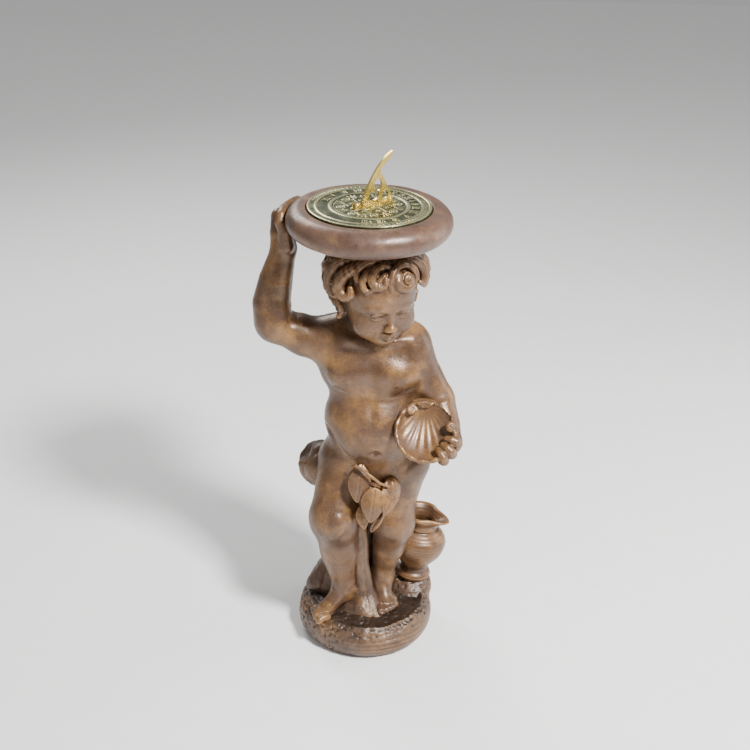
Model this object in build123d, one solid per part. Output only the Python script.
from build123d import *
import math
import os

# Garden sundial: a cast-stone child stepping forward on a round base, one hand raised to the
# bullnose table on its head, the other holding a scallop shell, with a brass dial on the table.
# Millimetres. Origin at the centre of the base's underside, +Z up, the figure faces -Y, and +X is
# on the left hand of the figure. "Stepping" is the leg on the -X side, "standing" the +X one.

# ---- driving dimensions -------------------------------------------------------------------------
OVERALL_HEIGHT = 850.0

BASE_RADIUS = 117.0
BASE_FOOT_RADIUS = 103.0
BASE_TOP_RADIUS = 97.0
BASE_HEIGHT = 58.0

TABLE_CENTRE = (-6.5, -7.0)
TABLE_RADIUS = 126.0
TABLE_HEIGHT = 42.0
TABLE_TOP = 769.0
SEAT_RADIUS = 95.0
SEAT_DEPTH = 3.0
BEDDING_RADIUS = 52.0
BEDDING_HEIGHT = 3.0

PLATE_RADIUS = 93.5
PLATE_HEIGHT = 4.5
RUNNING_GAP = 0.3
GNOMON_HEADING = 34.0
GNOMON_FOOT_START = (-19.5, -17.0)
GNOMON_BLADE = 4.0
GNOMON_FOOT_LENGTH = 56.0
GNOMON_FOOT_WIDTH = 10.0
GNOMON_FOOT_HEIGHT = 2.5
BOSS_CENTRE = (-26.1, -21.5)
BOSS_RADIUS = 6.8
BOSS_HEIGHT = 9.0
STUD_RADIUS = 5.0
STUD_LENGTH = 26.0
STUD_CLEARANCE = 0.05
SCREW_RADIUS = 2.0
SCREW_HEAD_RADIUS = 3.6
SCREW_HEAD_HEIGHT = 1.6
SCREW_PLACES = (5.5, 44.0)

SPINE_AT = (2.0, 18.0)
SPINE_RADIUS = 6.0
SPINE_BOTTOM = 20.0
SPINE_TOP = 744.0
DOWEL_RADIUS = 4.0
DOWEL_LENGTH = 70.0
PIN_RADIUS = 3.0

JAR_AT = (81.0, 37.0)
JAR_LEAN = 7.0
JAR_LEDGE_RADIUS = 33.0
JAR_FOOT_LEVEL = 74.0
JAR_HEIGHT = 131.0
JAR_HOLLOW_DEPTH = 70.0

SHELL_CENTRE = (89.0, -72.0, 424.0)
SHELL_TILT = (48.0, 0.0, -8.0)

# ---- levels that follow from them ---------------------------------------------------------------
TABLE_BOTTOM = TABLE_TOP - TABLE_HEIGHT
HEAD_TOP = TABLE_BOTTOM - BEDDING_HEIGHT
SEAT_LEVEL = TABLE_TOP - SEAT_DEPTH
PLATE_BOTTOM = SEAT_LEVEL + RUNNING_GAP
PLATE_TOP = PLATE_BOTTOM + PLATE_HEIGHT
GNOMON_HEIGHT = OVERALL_HEIGHT - PLATE_TOP


# ---- helpers ------------------------------------------------------------------------------------
def ellipsoid(centre, radii, turn=(0, 0, 0)):
    """An ellipsoid about centre, turned by Euler angles in degrees."""
    return Location(centre, turn) * scale(Sphere(1), by=radii)


def limb(points, radii):
    """A rounded limb: balls at the points, joined by cones of the same radii."""
    body = Pos(*points[0]) * Sphere(radii[0])
    for start, end, low, high in zip(points, points[1:], radii, radii[1:]):
        along = Vector(*end) - Vector(*start)
        if low == high:
            span = rod(start, end, low)
        else:
            cone = Cone(low, high, along.length, align=(Align.CENTER, Align.CENTER, Align.MIN))
            span = Plane(origin=start, z_dir=along).location * cone
        body = body + span + Pos(*end) * Sphere(high)
    return body


def rod(start, end, radius):
    """A plain round bar from one point to another."""
    along = Vector(*end) - Vector(*start)
    bar = Cylinder(radius, along.length, align=(Align.CENTER, Align.CENTER, Align.MIN))
    return Plane(origin=start, z_dir=along).location * bar


def stack(sections):
    """A smooth body through level ellipses, each (x, y, z, radius in x, radius in y)."""
    faces = [Pos(x, y, z) * Ellipse(rx, ry) for x, y, z, rx, ry in sections]
    return loft(faces)


def turned(outline, start=(0, 0)):
    """A solid of revolution about Z from (radius, height) points joined by straight lines."""
    face = make_face(Polyline(*outline, close=True))
    return Pos(start[0], start[1], 0) * revolve(Plane.XZ * face, Axis.Z)


def largest(shape):
    """The main solid of a cut, without the slivers that lie inside a neighbour."""
    return max(shape.solids(), key=lambda solid: solid.volume)


def bed(shape, *neighbours):
    """Cut a casting to the faces of the pieces it is bedded on."""
    for neighbour in neighbours:
        shape = shape - neighbour
    return largest(shape)


# ---- steel inside the stone ---------------------------------------------------------------------
def make_spine():
    return rod((*SPINE_AT, SPINE_BOTTOM), (*SPINE_AT, SPINE_TOP), SPINE_RADIUS)


def make_ankle_dowels():
    stepping = rod((-36, -34, 30), (-36, -34, 30 + DOWEL_LENGTH), DOWEL_RADIUS)
    standing = rod((29, -6, 30), (29, -6, 30 + DOWEL_LENGTH), DOWEL_RADIUS)
    return Compound([stepping, standing])


def make_hip_dowels():
    stepping = rod((-44, -28, 272), (-28, 6, 332), DOWEL_RADIUS)
    standing = rod((47, -6, 262), (42, 2, 331.5), DOWEL_RADIUS)
    return Compound([stepping, standing])


def make_shoulder_dowels():
    raised = rod((-108, 5, 554), (-40, 5, 538), DOWEL_RADIUS)
    lowered = rod((40, 5, 546), (88, 4, 496), DOWEL_RADIUS)
    return Compound([raised, lowered])


def make_hand_pin():
    return rod((-132, 10, 708), (-108, 6, 744), PIN_RADIUS)


def make_jar_pin():
    return rod((*JAR_AT, JAR_FOOT_LEVEL - 26), (*JAR_AT, JAR_FOOT_LEVEL + 24), PIN_RADIUS)


# ---- cast stone ---------------------------------------------------------------------------------
def make_base():
    """A thick round base with a bulging side, flat below and on top, and a ledge for the jar."""
    foot = Line((0, 0), (BASE_FOOT_RADIUS, 0))
    side = ThreePointArc((BASE_FOOT_RADIUS, 0), (BASE_RADIUS, BASE_HEIGHT / 2), (BASE_TOP_RADIUS, BASE_HEIGHT))
    top = Line((BASE_TOP_RADIUS, BASE_HEIGHT), (0, BASE_HEIGHT))
    axis = Line((0, BASE_HEIGHT), (0, 0))
    disc = revolve(Plane.XZ * make_face(Curve() + [foot, side, top, axis]), Axis.Z)
    ledge = rod((*JAR_AT, BASE_HEIGHT / 2), (*JAR_AT, JAR_FOOT_LEVEL), JAR_LEDGE_RADIUS)
    return disc + ledge


def make_stump():
    """The tree stump behind the legs, with a cut branch at the hip and a root between the feet."""
    trunk = stack([
        (-32, 36, BASE_HEIGHT, 72, 58),
        (-22, 38, 95, 52, 45),
        (-20, 40, 125, 45, 41),
        (-14, 42, 200, 42, 38),
        (-10, 44, 310, 40, 34),
    ])
    branch = limb([(-40, 40, 292), (-78, 36, 296), (-110, 31, 302)], [42, 36, 10])
    root = limb([(-2, -30, 64), (-7, -18, 130), (-10, -8, 214)], [24, 15, 12])
    return trunk + branch + root


def make_torso():
    """Chest, belly and hips, leaning a little to the standing side."""
    trunk = stack([
        (14, 10, 272, 62, 46),
        (14, 8, 308, 82, 58),
        (11, 4, 350, 82, 62),
        (7, -2, 395, 78, 62),
        (4, -4, 440, 79, 59),
        (1, -1, 480, 84, 56),
        (1, 3, 520, 82, 52),
        (3, 5, 552, 66, 46),
        (5, 5, 574, 40, 38),
    ])
    shoulders = limb([(-56, 5, 534), (62, 5, 530)], [36, 36])
    return trunk + shoulders


def make_stepping_leg():
    """The bent leg on the -X side, its knee forward and its toes over the edge of the base."""
    leg = limb(
        [(-32, 2, 318), (-54, -38, 244), (-46, -36, 168), (-35, -34, 98)],
        [48, 38, 28, 20],
    )
    foot = limb([(-32, -28, 74), (-68, -56, 66)], [19, 13])
    toes = ellipsoid((-77, -62, 61), (20, 12, 8), (0, 0, 34))
    return leg + foot + toes


def make_standing_leg():
    """The straight leg on the +X side, its foot flat and turned a little out."""
    leg = limb(
        [(48, 4, 312), (44, -14, 222), (38, -6, 164), (28, -5, 100)],
        [50, 33, 28, 19],
    )
    foot = limb([(27, 2, 76), (36, -30, 70)], [19, 14])
    toes = ellipsoid((38, -40, 65), (20, 13, 8), (0, 0, 28))
    return leg + foot + toes


def make_head():
    """Neck, face and a cap of thick curls, cut flat on top for the table."""
    curls = ellipsoid((4, -6, 664), (79, 84, 74))
    face = ellipsoid((20, -30, 622), (52, 54, 58))
    neck = limb([(5, 4, 560), (6, 0, 600)], [35, 36])
    above = Pos(0, 0, HEAD_TOP + 50) * Box(400, 400, 100)
    return curls + face + neck - above


def make_raised_arm():
    """Upper arm, forearm and hand of the -X side, up to the edge of the table."""
    arm = limb(
        [(-62, 5, 538), (-106, 5, 549), (-150, 5, 573), (-155, 5, 612), (-134, 7, 690)],
        [35, 31, 31, 30, 21],
    )
    palm = limb([(-134, 7, 690), (-138, 12, 716), (-143, 20, 740)], [21, 19, 14])
    fingers = ellipsoid((-139, 36, 742), (13, 28, 16), (0, 0, -15))
    return arm + palm + fingers


def make_shell_arm():
    """Upper arm and bent forearm of the +X side, with the hand under the shell."""
    arm = limb([(60, 5, 528), (84, 3, 484), (109, -4, 444)], [35, 30, 28])
    forearm = limb([(109, -4, 444), (124, -34, 412), (131, -58, 398)], [28, 22, 17])
    return arm + forearm


def shell_frame():
    """The shell's own frame: its bowl opens along local +Z and its hinge lies towards +Y."""
    return Location(SHELL_CENTRE, SHELL_TILT)


def make_shell():
    """A scallop: a fluted bowl with its hinge flange at the top."""
    outer = scale(Sphere(1), by=(47, 50, 27))
    inner = scale(Sphere(1), by=(41, 44, 19))
    front = Pos(0, 0, 30) * Box(140, 140, 60)
    flange = Pos(0, 47, -6) * Box(44, 16, 10)
    bowl = (outer + flange) - inner - front
    return shell_frame() * bowl


def make_jar():
    """A round-bellied jar on a foot ring, with a flared mouth and a hollow neck."""
    outline = [(0, 0), (29, 0), (30, 10), (23, 18), (24, 27), (38, 42), (46, 60), (47, 76), (40, 90), (27, 99)]
    outline += [(24, 106), (25, 112), (32, 122), (33, JAR_HEIGHT), (22, JAR_HEIGHT)]
    bottom = JAR_HEIGHT - JAR_HOLLOW_DEPTH
    outline += [(18, 116), (18, 98), (24, 88), (24, bottom), (0, bottom)]
    return Location((*JAR_AT, JAR_FOOT_LEVEL), (0, JAR_LEAN, 0)) * turned(outline)


def make_garland():
    """The spray of leaves in front of the hips, lying against the body."""
    return stack([
        (-2, -62, 248, 11, 22),
        (4, -62, 270, 24, 27),
        (14, -60, 300, 40, 28),
        (14, -56, 326, 44, 26),
        (-4, -54, 346, 28, 22),
        (-16, -52, 357, 12, 18),
    ])


def make_table():
    """The round table with a full-round edge, a shallow seat for the dial and a hole for its stud."""
    edge = TABLE_HEIGHT / 2
    flat = TABLE_RADIUS - edge
    profile = Curve() + [
        Line((0, 0), (flat, 0)),
        ThreePointArc((flat, 0), (TABLE_RADIUS, edge), (flat, TABLE_HEIGHT)),
        Line((flat, TABLE_HEIGHT), (0, TABLE_HEIGHT)),
        Line((0, TABLE_HEIGHT), (0, 0)),
    ]
    disc = Pos(*TABLE_CENTRE, TABLE_BOTTOM) * revolve(Plane.XZ * make_face(profile), Axis.Z)
    seat = Pos(*TABLE_CENTRE, SEAT_LEVEL) * Cylinder(
        SEAT_RADIUS, SEAT_DEPTH + 1, align=(Align.CENTER, Align.CENTER, Align.MIN)
    )
    bottom = PLATE_BOTTOM - STUD_LENGTH - 2
    hole = rod((*TABLE_CENTRE, bottom), (*TABLE_CENTRE, TABLE_TOP), STUD_RADIUS + STUD_CLEARANCE)
    return disc - seat - hole


def make_bedding():
    """The pad of mortar between the head and the table."""
    low = (SPINE_AT[0] + 2, SPINE_AT[1] - 24, HEAD_TOP)
    high = (low[0], low[1], TABLE_BOTTOM)
    return rod(low, high, BEDDING_RADIUS)


# ---- brass --------------------------------------------------------------------------------------
def gnomon_location():
    """The gnomon's own frame on the plate: +X along its foot, +Z up."""
    return Location((*GNOMON_FOOT_START, PLATE_TOP), (0, 0, GNOMON_HEADING))


def make_screws():
    """Two pan-head screws that hold the gnomon from beneath the plate."""
    screws = []
    for place in SCREW_PLACES:
        at = Pos(place, 0, -PLATE_HEIGHT)
        bottom = (Align.CENTER, Align.CENTER, Align.MIN)
        head = Cylinder(SCREW_HEAD_RADIUS, SCREW_HEAD_HEIGHT, align=bottom)
        shank = Cylinder(SCREW_RADIUS, PLATE_HEIGHT + GNOMON_FOOT_HEIGHT, align=bottom)
        screws.append(gnomon_location() * at * (head + shank))
    return Compound(screws)


def make_plate():
    """The dial plate: a rim bead, raised rings between the scales, and holes for the screws."""
    rings = [(89.5, 93.5, 1.0), (79.0, 82.0, 0.7), (57.0, 60.5, 0.7), (17.0, 19.5, 0.6)]
    align = (Align.CENTER, Align.CENTER, Align.MIN)
    plate = Cylinder(PLATE_RADIUS, PLATE_HEIGHT, align=align)
    for inner, outer, height in rings:
        ring = Cylinder(outer, height, align=align) - Cylinder(inner, height, align=align)
        plate = plate + Pos(0, 0, PLATE_HEIGHT) * ring
    plate = Pos(*TABLE_CENTRE, PLATE_BOTTOM) * plate
    foot = gnomon_location() * Pos(GNOMON_FOOT_LENGTH / 2 - 3, 0, 2) * Box(
        GNOMON_FOOT_LENGTH + 8, GNOMON_FOOT_WIDTH, 4
    )
    boss = Pos(*BOSS_CENTRE, PLATE_TOP) * Cylinder(BOSS_RADIUS, BOSS_HEIGHT, align=align)
    socket = rod((*TABLE_CENTRE, PLATE_BOTTOM), (*TABLE_CENTRE, PLATE_BOTTOM + 2.5), STUD_RADIUS)
    return plate - foot - boss - socket - make_screws()


def make_stud():
    """The centre stud, brazed under the plate, that turns in the hole of the table."""
    low = (*TABLE_CENTRE, PLATE_BOTTOM - STUD_LENGTH)
    return rod(low, (*TABLE_CENTRE, PLATE_BOTTOM + 2.5), STUD_RADIUS)


def make_boss():
    """The small turned knob at the toe of the gnomon."""
    outline = [(0, 0), (BOSS_RADIUS, 0), (BOSS_RADIUS, 1.5), (BOSS_RADIUS - 1.2, 2.5)]
    outline += [(BOSS_RADIUS - 1.2, 6.5), (BOSS_RADIUS - 0.2, 7.5), (BOSS_RADIUS - 1.0, BOSS_HEIGHT)]
    outline += [(0, BOSS_HEIGHT)]
    return Pos(*BOSS_CENTRE, PLATE_TOP) * turned(outline)


def make_gnomon():
    """The pierced blade: a horn-shaped style over a foot, with three tracery openings."""
    height = GNOMON_HEIGHT
    style = Spline((3, 0), (5.3, 17.6), (11.2, 30.2), (18.7, 43.8), (26.2, 54.7), (41.3, 71.1), (54, height))
    tip = Line((54, height), (54.6, height - 3))
    horn = Spline((54.6, height - 3), (47.7, 66.8), (40.8, 61.2), (33, 51))
    back = Spline((33, 51), (41.5, 36), (49, 21), (55, 9), (54, 0))
    foot = Line((54, 0), (3, 0))
    blade = make_face(Curve() + [style, tip, horn, back, foot])
    openings = Pos(29.2, 31) * Ellipse(6.6, 9.6)
    openings = openings + Pos(22.5, 15.4) * Rot(0, 0, 22) * Ellipse(9.6, 7.4)
    openings = openings + Pos(42.2, 14) * Ellipse(5.4, 6.4)
    upright = extrude(Plane.XZ * (blade - openings), GNOMON_BLADE / 2, both=True)
    bar = Pos(GNOMON_FOOT_LENGTH / 2 - 1, 0, GNOMON_FOOT_HEIGHT / 2) * Box(
        GNOMON_FOOT_LENGTH, GNOMON_FOOT_WIDTH, GNOMON_FOOT_HEIGHT
    )
    return gnomon_location() * (upright + bar)


# ---- the assembly -------------------------------------------------------------------------------
spine = make_spine()
ankle_dowels = make_ankle_dowels()
hip_dowels = make_hip_dowels()
shoulder_dowels = make_shoulder_dowels()
hand_pin = make_hand_pin()
jar_pin = make_jar_pin()
steel = [spine, *ankle_dowels, *hip_dowels, *shoulder_dowels, hand_pin, jar_pin]

base = make_base()
bedding = make_bedding()
table = make_table()
torso = make_torso()
stump = bed(make_stump(), base, torso)
stepping_leg = bed(make_stepping_leg(), base, torso, stump)
standing_leg = bed(make_standing_leg(), base, torso, stump, stepping_leg)
jar = bed(make_jar(), base, standing_leg)
head = bed(make_head(), torso)
raised_arm = bed(make_raised_arm(), torso, table, head)
shell = bed(make_shell(), torso)
shell_arm = bed(make_shell_arm(), torso, head, shell)
garland = bed(make_garland(), torso, stepping_leg, standing_leg, stump, shell_arm, shell)
screws = make_screws()
boss = make_boss()
gnomon = bed(make_gnomon(), screws, boss)

parts = {
    "base_plinth": bed(base, *steel),
    "tree_stump": bed(stump, *steel),
    "water_jar": bed(jar, *steel),
    "stepping_leg": bed(stepping_leg, *steel),
    "standing_leg": bed(standing_leg, *steel),
    "torso": bed(torso, *steel),
    "head": bed(head, *steel),
    "raised_arm": bed(raised_arm, *steel),
    "shell_arm": bed(shell_arm, *steel),
    "scallop_shell": bed(shell, *steel),
    "leaf_garland": garland,
    "dial_table": bed(table, *steel),
    "table_bedding": bed(bedding, spine),
    "spine_rod": spine,
    "ankle_dowels": ankle_dowels,
    "hip_dowels": hip_dowels,
    "shoulder_dowels": shoulder_dowels,
    "hand_pin": hand_pin,
    "jar_pin": jar_pin,
    "dial_plate": largest(make_plate()),
    "centre_stud": make_stud(),
    "gnomon": gnomon,
    "gnomon_boss": boss,
    "gnomon_screws": screws,
}

os.makedirs("parts", exist_ok=True)
for name, shape in parts.items():
    shape.label = name
    export_step(shape, f"parts/{name}.step")
    print(name, round(shape.volume / 1000, 1), "cm3")
